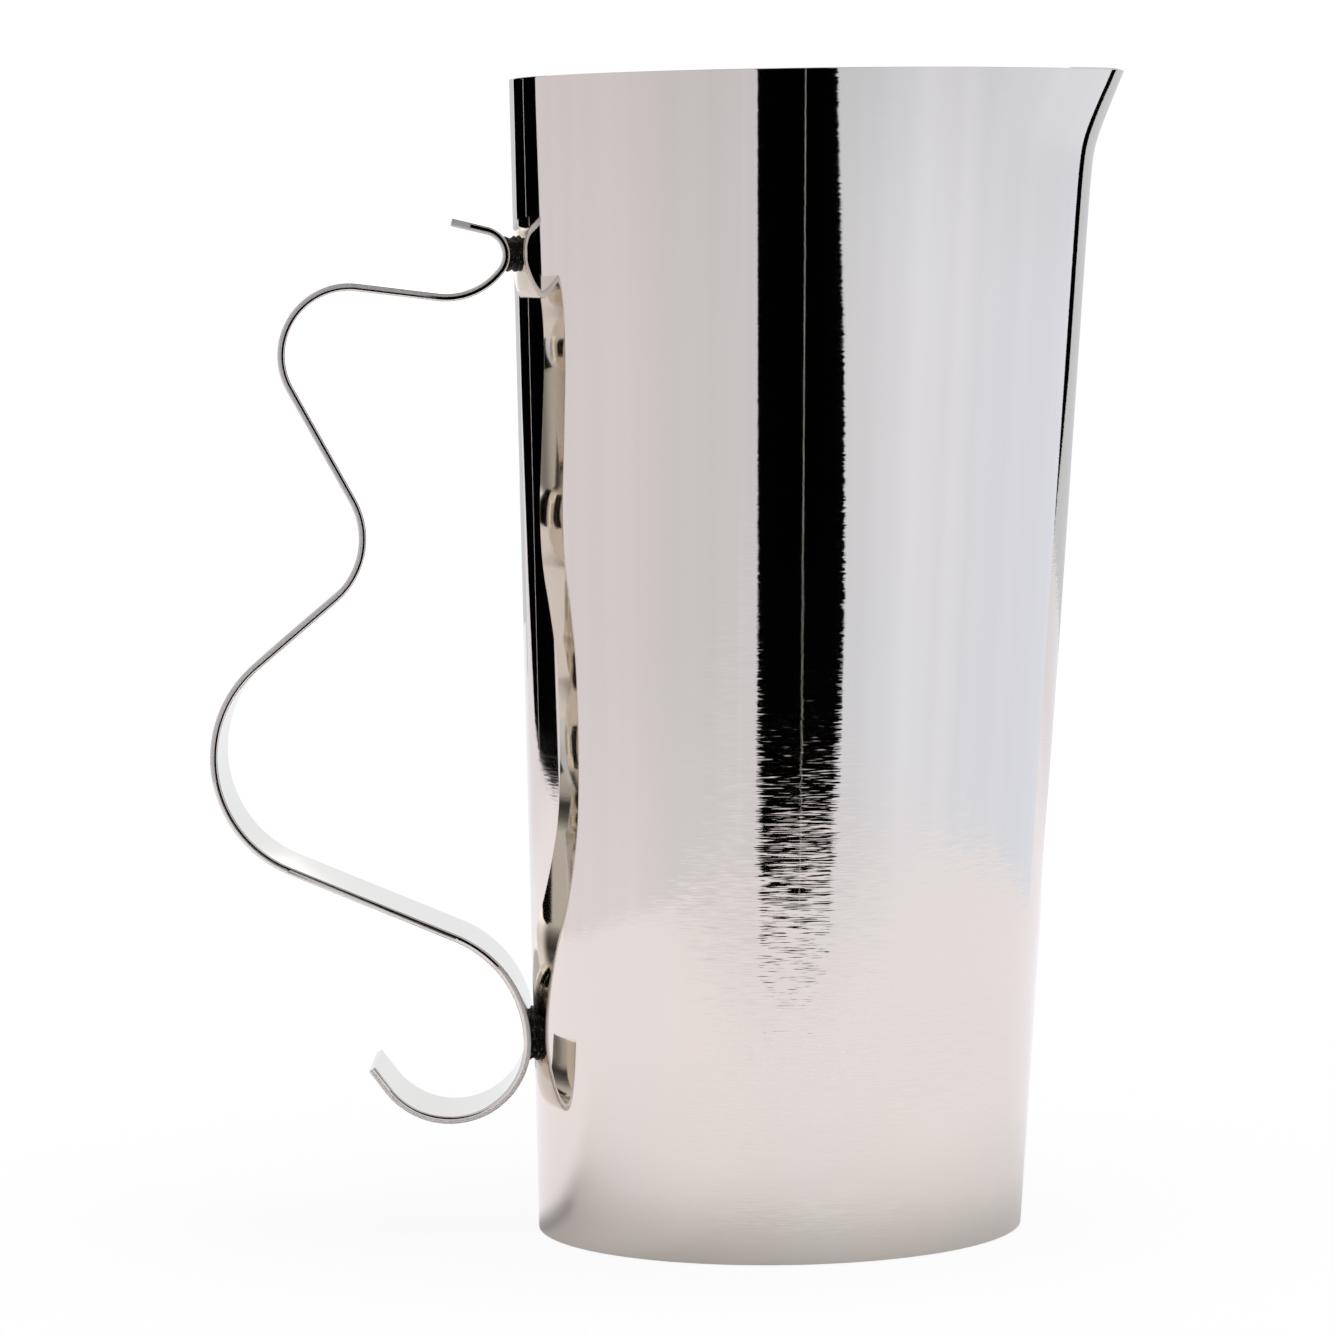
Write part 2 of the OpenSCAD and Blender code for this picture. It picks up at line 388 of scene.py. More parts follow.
def make_strip_steel():
    material, shader, start = new_finish("polished_strip", {"Metallic": 1.0})
    run = start.node("ShaderNodeAttribute", {"attribute_name": "run"}, out="Fac")
    place = place_on(start)
    across = start.node("ShaderNodeSeparateXYZ", None, {"Vector": place}, "Y")
    flat = STRIP_HALF_WIDTH - STRIP_EDGE_ROUND
    edge = abs(across).ease(flat - EDGE_FADE, flat)
    skin = start.node("ShaderNodeAttribute", {"attribute_name": "skin"}, out="Fac")
    inner = skin * (1 - 2 * run.ease(*HOOK_FROM))
    caught = inner.ease(*CAUGHT) * run.ease(*CAUGHT_FROM)
    nose_side = stretch(run, BUFFED_NOSE) * skin.ease(*NOSE_CAUGHT)
    dull = edge * (1 - caught) * (1 - nose_side - stretch(run, BUFFED_LOBE))
    along = start.node("ShaderNodeCombineXYZ", None,
                       {"X": run * STRIP_LINES_ALONG, "Y": across * STRIP_LINES_ACROSS})
    lines = start.node("ShaderNodeTexNoise", {"noise_dimensions": "2D"},
                       {"Vector": along, "Scale": 1.0, "Detail": 2.0})
    pits = grain(place, EDGE_GRAIN)
    face = pits.ease(*PIT_EDGES).blend(rgba(STRIP_WARM), rgba(STRIP_COOL))
    dull.blend(face, rgba(STRIP_EDGE)).to(shader, "Base Color")
    polished = STRIP_ROUGH + STRIP_LINES_ROUGH * lines
    (polished + dull * (EDGE_ROUGH + EDGE_PITS_ROUGH * pits)).to(shader, "Roughness")
    dressed = relief(pits * dull, EDGE_GRAIN_DEPTH)
    relief(lines * (1 - edge), STRIP_LINE_DEPTH, dressed).to(shader, "Normal")
    return material


strip_steel = make_strip_steel()
print(strip_steel.name, "has", len(strip_steel.node_tree.nodes), "nodes")

# %% [markdown]
# ## Finish: the turned base
# The base disc was faced on a lathe, which leaves rings round its middle, on the inside of
# the pitcher and on its underside. A noise over the distance from the middle gives rings of
# uneven depth, which looks truer than an even wave.

# %% Make the base's finish
BASE_LIGHT = (0.72, 0.67, 0.65)
BASE_DARK = (0.62, 0.58, 0.57)
RINGS_PER_METRE = 2200
RING_DEPTH = 2.5e-6
BASE_SMEARS = (60, 60, 60)
SMEAR_EDGES = (0.3, 0.7)
BASE_ROUGH, RINGS_ROUGH, SMEARS_ROUGH = 0.12, 0.12, 0.06


def make_turned_steel():
    material, shader, start = new_finish("turned_base", {"Metallic": 1.0})
    place = place_on(start)
    radius = place.vector("LENGTH", place.vector("MULTIPLY", place, (1, 1, 0)), out="Value")
    rings = start.node("ShaderNodeTexNoise", {"noise_dimensions": "1D"},
                       {"W": radius * RINGS_PER_METRE, "Scale": 1.0, "Detail": 3.0})
    smears = grain(place, BASE_SMEARS)
    smears.ease(*SMEAR_EDGES).blend(rgba(BASE_LIGHT), rgba(BASE_DARK)).to(shader, "Base Color")
    (BASE_ROUGH + RINGS_ROUGH * rings + SMEARS_ROUGH * smears).to(shader, "Roughness")
    relief(rings, RING_DEPTH).to(shader, "Normal")
    return material


turned_steel = make_turned_steel()
print(turned_steel.name, "has", len(turned_steel.node_tree.nodes), "nodes")

# %% [markdown]
# ## Finish: the brazing filler
# Filler that has run and set is dull and grainy, with only a few grains of bright metal. On
# the two outer pads its hollows are painted almost black: painted shade, for the gap between
# the strip and the wall lies in shadow. One noise makes the grains, and it drives the colour,
# the roughness and the bump together, so that what stands out is also what shines. The seam
# inside has no painted shade: the same finish in paler colours.

# %% Make the filler's finish
# painted shade: the outer pads' hollows are near black because the gap they sit in lies in shadow
FILLER_SHADE = (0.012, 0.011, 0.010)
FILLER_BRIGHT = (0.34, 0.32, 0.28)
SEAM_DARK = (0.34, 0.32, 0.29)
SEAM_BRIGHT = (0.66, 0.63, 0.58)
FILLER_GRAINS = (1500, 1500, 1500)
FILLER_GRAIN_DEPTH = 120e-6
GRAIN_EDGES = (0.57, 0.72)
HOLLOWS_METALLIC, GRAINS_METALLIC = 0.1, 0.8
HOLLOWS_ROUGH, GRAINS_SMOOTH = 0.62, 0.28


def make_filler(name, hollows, grains_of):
    material, shader, start = new_finish(name, {"Specular IOR Level": 0.12})
    place = place_on(start)
    grains = grain(place, FILLER_GRAINS, detail=3.0, roughness=0.6)
    bright = grains.ease(*GRAIN_EDGES)
    bright.blend(rgba(hollows), rgba(grains_of)).to(shader, "Base Color")
    (HOLLOWS_METALLIC + GRAINS_METALLIC * bright).to(shader, "Metallic")
    (HOLLOWS_ROUGH - GRAINS_SMOOTH * bright).to(shader, "Roughness")
    relief(grains, FILLER_GRAIN_DEPTH).to(shader, "Normal")
    return material


# the outer pads carry the painted shade in their hollows, the seam inside does not
filler_metal = make_filler("brazing_filler", FILLER_SHADE, FILLER_BRIGHT)
seam_metal = make_filler("seam_filler", SEAM_DARK, SEAM_BRIGHT)
print(filler_metal.name, "and", seam_metal.name, "have",
      len(seam_metal.node_tree.nodes), "nodes each")

# %% [markdown]
# ## Growing a piece from a Geometry Nodes tree
# The wall and the strip follow rules, so each is grown by a tree with one named input for
# each size. The tree is built in code, its inputs are set by their identifiers, and the
# result becomes a plain mesh, so that nothing stays live on the finished piece.

# %% Helpers for a tree of sizes
SOCKET_KINDS = {float: "NodeSocketFloat", int: "NodeSocketInt"}
OTHER_KINDS = {"Material": "NodeSocketMaterial", "Object": "NodeSocketObject"}


def size_tree(name, sizes):
    """An empty tree with a named input for each size, a wire for each, and its output node."""
    tree = bpy.data.node_groups.new(name, "GeometryNodeTree")
    tree.interface.new_socket("Geometry", in_out="OUTPUT", socket_type="NodeSocketGeometry")
    for label, value in sizes.items():
        kind = SOCKET_KINDS.get(type(value)) or OTHER_KINDS[value.bl_rna.name]
        tree.interface.new_socket(label, in_out="INPUT", socket_type=kind)
    entry = tree.nodes.new("NodeGroupInput")
    wires = {label: Wire(tree, entry.outputs[label]) for label in sizes}
    return tree, wires, tree.nodes.new("NodeGroupOutput")


def close_tree(geometry, finish, exit_node):
    """The tree's last nodes: smooth shading, Realize Instances and Set Material."""
    smooth = geometry.node("GeometryNodeSetShadeSmooth", None, {"Geometry": geometry})
    real = geometry.node("GeometryNodeRealizeInstances", None, {"Geometry": smooth})
    painted = geometry.node("GeometryNodeSetMaterial", None,
                            {"Geometry": real, "Material": finish})
    painted.to(exit_node, 0)


print("a tree's inputs are", ", ".join([*SOCKET_KINDS.values(), *OTHER_KINDS.values()]))

# %% [markdown]
# ## From a tree to a plain mesh
# A modifier shows a tree's result but leaves the object's own mesh empty. The export wants
# plain meshes, so the evaluated object is copied into a new mesh and the modifiers go. The
# size of the result's box is then compared with its solid's, which finds a wrong size at once.

# %% Helpers to grow a piece
def grow(name, tree, sizes, finishing=()):
    """An object with the tree's result, and any finishing modifiers, as its plain mesh."""
    piece = bpy.data.objects.new(name, bpy.data.meshes.new(name + "_start"))
    bpy.context.scene.collection.objects.link(piece)
    nodes = piece.modifiers.new("tree", "NODES")
    nodes.node_group = tree
    inputs = [s for s in tree.interface.items_tree if s.in_out == "INPUT"]
    for socket in inputs:
        nodes[socket.identifier] = sizes[socket.name]
    for kind, settings in finishing:
        modifier = piece.modifiers.new(kind.lower(), kind)
        for setting, value in settings.items():
            setattr(modifier, setting, value)
    graph = bpy.context.evaluated_depsgraph_get()
    mesh = bpy.data.meshes.new_from_object(piece.evaluated_get(graph), depsgraph=graph)
    piece.modifiers.clear()
    piece.data = mesh
    mesh.name = name
    return piece


def say_made(piece, node):
    """Prints a piece's count of faces and how far its box is from its solid's."""
    corners = [Vector(corner) for corner in piece.bound_box]
    low = Vector([min(c[i] for c in corners) for i in range(3)])
    high = Vector([max(c[i] for c in corners) for i in range(3)])
    solid_low, solid_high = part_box(node)
    off = [round(x / MM, 2) for x in (*(low - solid_low), *(high - solid_high))]
    print(piece.name, len(piece.data.polygons), "faces, box off its solid by", off, "mm")


print("solids to compare with:", ", ".join(sorted(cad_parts)))

# %% [markdown]
# ## The leaning wall
# The wall is one sheet. Every level ring is a circle whose centre and radius change evenly
# with height, and near the rim the ring swells towards +X into the lip. A sculpted or lofted
# surface would leave ripples in the polish. A flat grid whose points are moved by the same
# sums as the solid's has none. Solidify then gives the sheet its thickness, and Bevel rounds
# the rim and the foot.

# %% Grow the wall
WALL_THICKNESS = 1.0 * MM
WALL_EDGE_ROUND = 0.42 * MM
ROW_CROWDING = 1.6
MERGE_DISTANCE = 0.01 * MM
SHARP_EDGE = math.radians(50)
wall_sizes = {
    "Height": 200.0 * MM,
    "Foot radius": 42.2 * MM,
    "Rim radius": 50.8 * MM,
    "Lean": 6.5 * MM,
    "Lip reach": 4.6 * MM,
    "Lip depth": 12.8 * MM,
    "Lip ease": 3.0 * MM,
    "Lip angle": math.radians(110),
    "Columns": 361,
    "Rows": 111,
    "Finish": wall_steel,
}


def wall_tree(sizes):
    tree, size, exit_node = size_tree("leaning_wall_tree", sizes)
    sheet = size["Columns"].node("GeometryNodeMeshGrid", None, {
        "Size X": 1.0, "Size Y": 1.0, "Vertices X": size["Columns"], "Vertices Y": size["Rows"]})
    flat = sheet.node("GeometryNodeInputPosition")
    flat_x = sheet.node("ShaderNodeSeparateXYZ", None, {"Vector": flat}, "X")
    angle = flat_x * math.tau
    climb = flat_x.output("Y") + 0.5
    z = size["Height"] * (1 - (1 - climb) ** ROW_CROWDING)
    share = z / size["Height"]
    depth, ease = size["Lip depth"], size["Lip ease"]
    slope = 2 * size["Lip reach"] / (depth + (depth * depth + ease * ease).root())
    over = z - (size["Height"] - depth)
    flare = slope / 2 * (over + (over * over + ease * ease).root())
    off_lip = (abs(angle) * math.pi / size["Lip angle"]).least(math.pi / 2)
    ring = size["Foot radius"] + (size["Rim radius"] - size["Foot radius"]) * share
    radius = ring + flare * off_lip.cos() ** 2
    spot = sheet.node("ShaderNodeCombineXYZ", None, {
        "X": size["Lean"] * share + radius * angle.cos(), "Y": radius * angle.sin(), "Z": z})
    placed = sheet.node("GeometryNodeSetPosition", None, {"Geometry": sheet, "Position": spot})
    closed = sheet.node("GeometryNodeMergeByDistance", None,
                        {"Geometry": placed, "Distance": MERGE_DISTANCE})
    close_tree(closed, size["Finish"], exit_node)
    return tree


wall = grow("leaning_wall", wall_tree(wall_sizes), wall_sizes, [
    ("SOLIDIFY", {"thickness": WALL_THICKNESS, "offset": -1, "use_even_offset": True}),
    ("BEVEL", {"width": WALL_EDGE_ROUND, "segments": 4, "limit_method": "ANGLE",
               "angle_limit": SHARP_EDGE}),
    ("WEIGHTED_NORMAL", {"weight": 100}),
])
say_made(wall, "body_wall")

# %% [markdown]
# ## The strip's bends
# The handle is one flat strip of seven bends: nose, curl, shoulder, waist, belly, sweep and
# hook, each an arc, with a straight wherever two bends turn different ways. Complex numbers
# suit a path in a plane: x is the real part, z is the imaginary part, and a heading is an
# angle. Two bends lie on the wall with only filler between, so the wall's slope places them.

# %% Place the bends
STRIP_THICKNESS = 1.3 * MM
FILLER_GAP = 0.2 * MM
UPPER_JOINT = 170.0 * MM
LOWER_JOINT = 34.0 * MM
NOSE_RADIUS = 4.3 * MM
CURL_RADIUS = 12.0 * MM
SHOULDER_RADIUS, SHOULDER_OUT, SHOULDER_Z = 11.8 * MM, 28.2 * MM, 153.0 * MM
WAIST_RADIUS, WAIST_OUT, WAIST_Z = 13.6 * MM, 40.5 * MM, 121.7 * MM
BELLY_RADIUS, BELLY_OUT, BELLY_Z = 21.0 * MM, 32.7 * MM, 83.5 * MM
SWEEP_RADIUS = 19.9 * MM
HOOK_RADIUS = 13.5 * MM
TIP_LENGTH = 6.3 * MM
HOOK_LENGTH = 4.5 * MM
TIP_SLOPE = math.radians(14)
NOSE_WRAP = math.radians(39)
HOOK_TURN = math.radians(144)

height, foot_radius = wall_sizes["Height"], wall_sizes["Foot radius"]
back_run = wall_sizes["Lean"] - wall_sizes["Rim radius"] + foot_radius
wall_down = math.atan2(-height, -back_run)


def left_of(heading):
    return cmath.rect(1, heading + math.pi / 2)


def off_wall(out, z):
    return complex(back_run * z / height - foot_radius - out, z)


def bend_on_wall(z, radius):
    """A right-hand bend, as (centre, radius, turn), that touches the filler at that height."""
    touch = off_wall((STRIP_THICKNESS / 2 + FILLER_GAP) / -math.sin(wall_down), z)
    return touch - left_of(wall_down) * radius, radius, -1


def bend_point(bend, heading):
    centre, radius, turn = bend
    return centre - left_of(heading) * turn * radius


def straight_heading(first, second):
    """Heading of the straight that touches two bends."""
    apart = second[0] - first[0]
    across = second[2] * second[1] - first[2] * first[1]
    return cmath.phase(apart) - math.asin(across / abs(apart))


nose = bend_on_wall(UPPER_JOINT, NOSE_RADIUS)
curl_start = wall_down - NOSE_WRAP
curl = (nose[0] + left_of(curl_start) * (NOSE_RADIUS - CURL_RADIUS), CURL_RADIUS, -1)
shoulder = (off_wall(SHOULDER_OUT, SHOULDER_Z), SHOULDER_RADIUS, 1)
waist = (off_wall(WAIST_OUT, WAIST_Z), WAIST_RADIUS, -1)
belly = (off_wall(BELLY_OUT, BELLY_Z), BELLY_RADIUS, 1)
sweep = bend_on_wall(LOWER_JOINT, SWEEP_RADIUS)
hook = bend_on_wall(LOWER_JOINT, HOOK_RADIUS)
bends = [nose, curl, shoulder, waist, belly, sweep, hook]
print("bend radii", [round(bend[1] / MM, 1) for bend in bends], "mm")

# %% [markdown]
# ## The strip's path
# Between two bends the strip runs straight along the line that touches both, so the headings
# of those lines are all that the path still needs. Drawing the curve by hand would leave
# kinks where an arc meets a straight. Each arc is then cut into steps of a small angle.

# %% Lay out the path
BEND_STEP = math.radians(1.5)
headings = [
    -TIP_SLOPE,
    curl_start,
    straight_heading(curl, shoulder),
    straight_heading(shoulder, waist),
    straight_heading(waist, belly),
    straight_heading(belly, sweep),
    wall_down,
    wall_down - HOOK_TURN,
]


def strip_points():
    """The strip's middle line from its tip to the hook's end."""
    points = [bend_point(nose, headings[0]) - cmath.rect(TIP_LENGTH, headings[0])]
    for bend, start, end in zip(bends, headings, headings[1:]):
        turned = (bend[2] * (end - start)) % math.tau
        steps = math.ceil(turned / BEND_STEP)
        arc = [bend_point(bend, start + bend[2] * turned * k / steps)
               for k in range(steps + 1)]
        points += arc[1:] if abs(arc[0] - points[-1]) < MERGE_DISTANCE else arc
    return points + [bend_point(hook, headings[-1]) + cmath.rect(HOOK_LENGTH, headings[-1])]


path_points = strip_points()
strip_length = sum(abs(b - a) for a, b in zip(path_points, path_points[1:]))
print("strip of", len(path_points), "points,", round(strip_length / MM, 1), "mm long")

# %% [markdown]
# ## The handle strip
# A curve with a bevel could make the strip, but it gives no square ends and no attribute for
# the lines of polish. In Geometry Nodes the path carries its own length as run, its normal is
# held across the handle so that the strip never twists, and a filleted rectangle, which
# carries skin, is swept along it. Bevel dresses the two cut ends.

# %% Grow the strip
END_DRESSING = 0.15 * MM
EDGE_STEPS = 5


def path_object(name, points):
    curve = bpy.data.curves.new(name, "CURVE")
    curve.dimensions = "3D"
    spline = curve.splines.new("POLY")
    spline.points.add(len(points) - 1)
    for point, at in zip(spline.points, points):
        point.co = (at.real, 0, at.imag, 1)
    holder = bpy.data.objects.new(name, curve)
    bpy.context.scene.collection.objects.link(holder)
    return holder


strip_path = path_object("strip_path", path_points)
strip_sizes = {
    "Path": strip_path,
    "Width": 2 * STRIP_HALF_WIDTH,
    "Thickness": STRIP_THICKNESS,
    "Edge radius": STRIP_EDGE_ROUND,
    "Edge steps": EDGE_STEPS,
    "Finish": strip_steel,
}


def strip_tree(sizes):
    tree, size, exit_node = size_tree("handle_strip_tree", sizes)
    line = size["Path"].node("GeometryNodeObjectInfo", None, {"Object": size["Path"]}, "Geometry")
    run = line.node("GeometryNodeSplineParameter", out="Length")
    marked = line.node("GeometryNodeStoreNamedAttribute", {"data_type": "FLOAT", "domain": "POINT"},
                       {"Geometry": line, "Name": "run", "Value": run})
    held = line.node("GeometryNodeSetCurveNormal", {"mode": "FREE"},
                     {"Curve": marked, "Normal": (0.0, 1.0, 0.0)})
    section = line.node("GeometryNodeCurvePrimitiveQuadrilateral", {"mode": "RECTANGLE"},
                        {"Width": size["Width"], "Height": size["Thickness"]})
    rounded = line.node("GeometryNodeFilletCurve", {"mode": "POLY"}, {
        "Curve": section, "Radius": size["Edge radius"], "Count": size["Edge steps"]})
    corner = line.node("GeometryNodeInputPosition")
    skin = line.node("ShaderNodeSeparateXYZ", None, {"Vector": corner}, "Y")
    layered = line.node("GeometryNodeStoreNamedAttribute", {"data_type": "FLOAT", "domain": "POINT"},
                        {"Geometry": rounded, "Name": "skin", "Value": skin})
    swept = line.node("GeometryNodeCurveToMesh", None, {
        "Curve": held, "Profile Curve": layered, "Fill Caps": True})
    close_tree(swept, size["Finish"], exit_node)
    return tree


strip = grow("handle_ribbon", strip_tree(strip_sizes), strip_sizes, [
    ("BEVEL", {"width": END_DRESSING, "segments": 3, "limit_method": "ANGLE",
               "angle_limit": SHARP_EDGE}),
    ("WEIGHTED_NORMAL", {"weight": 100}),
])
bpy.data.objects.remove(strip_path)
say_made(strip, "handle_strip")

# %% [markdown]
# ## A mesh from rings
# The filler pieces have no sharp rule, but each is a row of closed rings: round the seam's
# section, or out over one face of a pad, across its edge and back over the other face. One
# helper joins such rings, and closes the first and last with a small face.

# %% Join rings into a mesh
def mesh_of_rings(name, rings, finish, round_again=False):
    """Joins rings of equally many points; round_again joins the last ring to the first."""
    sides = len(rings[0])
    verts = [point for ring in rings for point in ring]
    rows = len(rings) if round_again else len(rings) - 1
    faces = []
    for i in range(rows):
        for j in range(sides):
            here, there = i * sides, (i + 1) % len(rings) * sides
            faces.append((here + j, here + (j + 1) % sides, there + (j + 1) % sides, there + j))
    if not round_again:
        faces.append(tuple(reversed(range(sides))))
        faces.append(tuple(range(rows * sides, rows * sides + sides)))
    mesh = bpy.data.meshes.new(name)
    mesh.from_pydata(verts, [], faces)
    mesh.materials.append(finish)
    mesh.shade_smooth()
    piece = bpy.data.objects.new(name, mesh)
    bpy.context.scene.collection.objects.link(piece)
    return piece


print("rings are joined by", mesh_of_rings.__name__)

# %% [markdown]
# ## The brazed joints
# Molten filler was drawn into the gap between the round wall and the strip's bends. It fits
# both faces, and its free edge is hollow, because the melt wets the steel on either side. A
# block cut to fit would show sharp corners, so each pad is laid out in rings: over the face
# on the strip, across the hollow edge, and back over the face on the wall.

# %% Find the faces that a pad fits
PAD_FIT = 0.05 * MM


def strip_face(joint, joint_z, z):
    """Where the strip's outer face lies at that height, at the joint between two bends."""
    above, below = joint
    centre, radius, turn = above if z > joint_z else below
    reach = radius + STRIP_THICKNESS / 2 + PAD_FIT
    return centre.real + math.sqrt(max(reach ** 2 - (z - centre.imag) ** 2, 0))


def wall_face(y, z):
    """Where the wall's back lies at that height and distance from its middle."""
    share = z / height
    ring = foot_radius + (wall_sizes["Rim radius"] - foot_radius) * share + PAD_FIT
    return wall_sizes["Lean"] * share - math.sqrt(ring ** 2 - y ** 2)


for joint_z, joint in ((UPPER_JOINT, (nose, nose)), (LOWER_JOINT, (sweep, hook))):
    gap = wall_face(0, joint_z) - strip_face(joint, joint_z, joint_z)
    print("filler", round(gap / MM, 2), "mm thick in the middle, at", round(joint_z / MM), "mm")

# %% [markdown]
# ## The filler pads
# A pad's outline is a rounded rectangle that wanders a little, as set filler does. Noise from
# mathutils with a fixed third number gives each pad its own outline, the same on every run.
# The rings shrink towards the middle of both faces, and the edge between is drawn inwards.

# %% Lay the filler pads
PAD_HALF_WIDTH = 10.0 * MM
UPPER_HALF_HEIGHT, LOWER_HALF_HEIGHT = 3.0 * MM, 4.0 * MM
PAD_SIDES = 144
PAD_FACE_RINGS = 10
PAD_EDGE_RINGS = 10
PAD_EDGE_WANDER = 0.35 * MM
PAD_WAVES = 3
PAD_SQUARENESS = 6
PAD_HOLLOW = 0.55


def pad_outline(angle, half_height, seed):
    """A pad's rounded outline, which wanders as set filler does."""
    c, s = math.cos(angle), math.sin(angle)
    wander = PAD_EDGE_WANDER * noise.noise(Vector((PAD_WAVES * c, PAD_WAVES * s, seed)))
    squareness = (abs(c) ** PAD_SQUARENESS + abs(s) ** PAD_SQUARENESS) ** (1 / PAD_SQUARENESS)
    return (PAD_HALF_WIDTH + wander) * c / squareness, (half_height + wander) * s / squareness


def filler_pad(name, joint, joint_z, half_height, seed):
    rings = []
    faces = [(k / PAD_FACE_RINGS, 0) for k in range(1, PAD_FACE_RINGS)]
    edge = [(1, k / PAD_EDGE_RINGS) for k in range(PAD_EDGE_RINGS + 1)]
    for spread, across in faces + edge + [(spread, 1) for spread, side in reversed(faces)]:
        ring = []
        for j in range(PAD_SIDES):
            y, z = pad_outline(math.tau * j / PAD_SIDES, half_height, seed)
            y, z = y * spread, joint_z + z * spread
            gap = wall_face(y, z) - strip_face(joint, joint_z, z)
            pull = PAD_HOLLOW * gap * math.sin(math.pi * across)
            inward = Vector((-y, joint_z - z)).normalized() * pull
            y, z = y + inward.x, z + inward.y
            x = strip_face(joint, joint_z, z) * (1 - across) + wall_face(y, z) * across
            ring.append((x, y, z))
        rings.append(ring)
    return mesh_of_rings(name, rings, filler_metal)


upper_pad = filler_pad("upper_filler", (nose, nose), UPPER_JOINT, UPPER_HALF_HEIGHT, seed=1.0)
lower_pad = filler_pad("lower_filler", (sweep, hook), LOWER_JOINT, LOWER_HALF_HEIGHT, seed=2.0)
say_made(upper_pad, "upper_braze")
say_made(lower_pad, "lower_braze")

# %% [markdown]
# ## The base and its seam
# The base disc is plain, and its solid has the right shape, so the solid stays and only gets
# a turned finish. The seam is a hollow fillet of filler in the inside corner. It was run in
# by hand, so its width varies a little on the way round, which a lathed ring would not show.

# %% Finish the base and run the seam
BASE_THICKNESS = 1.2 * MM
SEAM_RADIUS = 2.0 * MM
SEAM_LIP = 0.15 * MM
SEAM_GAP = 0.15 * MM
SEAM_SIDES = 240
SEAM_STEPS = 12
SEAM_WANDER = 0.12
SEAM_WAVES = 4


def seam_section(width):
    """The fillet cut across, as (in from the wall, up from the base), corner first."""
    side = width + SEAM_LIP
    turns = [math.pi / 2 * k / SEAM_STEPS for k in range(SEAM_STEPS + 1)]
    hollow = [(side - width * math.sin(a), side - width * math.cos(a)) for a in turns]
    return [(0, 0), (side, 0), *hollow, (0, side)]


def run_seam(name):
    outer = foot_radius - WALL_THICKNESS - SEAM_GAP
    rings = []
    for j in range(SEAM_SIDES):
        angle = math.tau * j / SEAM_SIDES
        around = Vector((math.cos(angle), math.sin(angle), 0))
        width = SEAM_RADIUS * (1 + SEAM_WANDER * (noise.noise(SEAM_WAVES * around) - 0.5))
        rings.append([around * (outer - inward) + Vector((0, 0, BASE_THICKNESS + up))
                      for inward, up in seam_section(width)])
    return mesh_of_rings(name, rings, seam_metal, round_again=True)


seam = run_seam("base_fillet")
say_made(seam, "base_seam")
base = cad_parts["base_disc"]
base.data.materials.clear()
base.data.materials.append(turned_steel)
print("base disc keeps its solid, with", len(base.data.polygons), "faces")

# %% [markdown]
# ## The studio: pieces that only the steel sees
# Polished steel has hardly a colour of its own, so the studio makes the picture: pale cloth
# stands round the pitcher, with an opening for the camera and gaps at the back. Lamps could
# light real cloth, but then every change of one would change the rest. Here each piece glows
# by itself, shows only in the steel, and is hidden from the camera, so the background stays
# white.

# %% Helpers for the studio
def stage_piece(name, verts, faces, material, seen=False):
    """A piece of the studio; unseen pieces show only in reflections."""
    mesh = bpy.data.meshes.new(name)
    mesh.from_pydata(verts, [], faces)
    mesh.materials.append(material)
    piece = bpy.data.objects.new(name, mesh)
    bpy.context.scene.collection.objects.link(piece)
    piece.visible_camera = seen
    piece.visible_diffuse = seen
    return piece


def upright_board(name, y, corners, material):
    """A board that faces the camera, from four corners given as (x, z)."""
    return stage_piece(name, [(x, y, z) for x, z in corners], [(0, 1, 2, 3)], material)


def stage_material(name):
    """A material with only its output node, and a first wire to its tree."""
    material = bpy.data.materials.new(name)
    material.use_nodes = True
    tree = material.node_tree
    tree.nodes.clear()
    return material, tree.nodes.new("ShaderNodeOutputMaterial"), Wire(tree)


def glow_of(start, colour, strength):
    """A shader that glows in a colour, which may vary, at a strength, which may vary."""
    return start.node("ShaderNodeEmission", None, {"Color": colour, "Strength": strength})


print("studio pieces are made with", stage_piece.__name__, "and", upright_board.__name__)

# %% [markdown]
# ## The tone of the cloth
# Two pale cloths stand left and right of the opening. Cloth is never evenly lit, and a round
# wall shows all of it, so the tone changes with the angle round the pitcher. A colour ramp
# over the arctangent of the place does that. The cloth also dims as it rises, takes up some
# light from the table at its foot, and has soft folds.

# %% Make the cloth
CLOTH_DIM = (0.12, 0.22)
CLOTH_BOUNCE = (0.07, 0)
CLOTH_FOLDS = (14, 14, 1)
CLOTH_FOLD_DEPTH = 0.10


def make_cloth(name, dim, bounce, stops):
    """Lit cloth that dims as it rises; stops are angles from the camera's side and colours."""
    material, exit_node, start = stage_material(name)
    place = place_on(start)
    x = start.node("ShaderNodeSeparateXYZ", None, {"Vector": place}, "X")
    turn = x.math("ARCTAN2", x, -x.output("Y")) / math.tau + 0.5
    tone = turn.node("ShaderNodeValToRGB", {
        "stops": [(angle / 360 + 0.5, colour) for angle, colour in stops]}, {"Fac": turn})
    folds = grain(place, CLOTH_FOLDS) - 0.5
    z = x.output("Z")
    level = 1 - dim * z.ease(*CLOTH_DIM) + bounce * z.ease(*CLOTH_BOUNCE)
    level = level + CLOTH_FOLD_DEPTH * folds
    glow_of(start, tone, level).to(exit_node, "Surface")
    return material


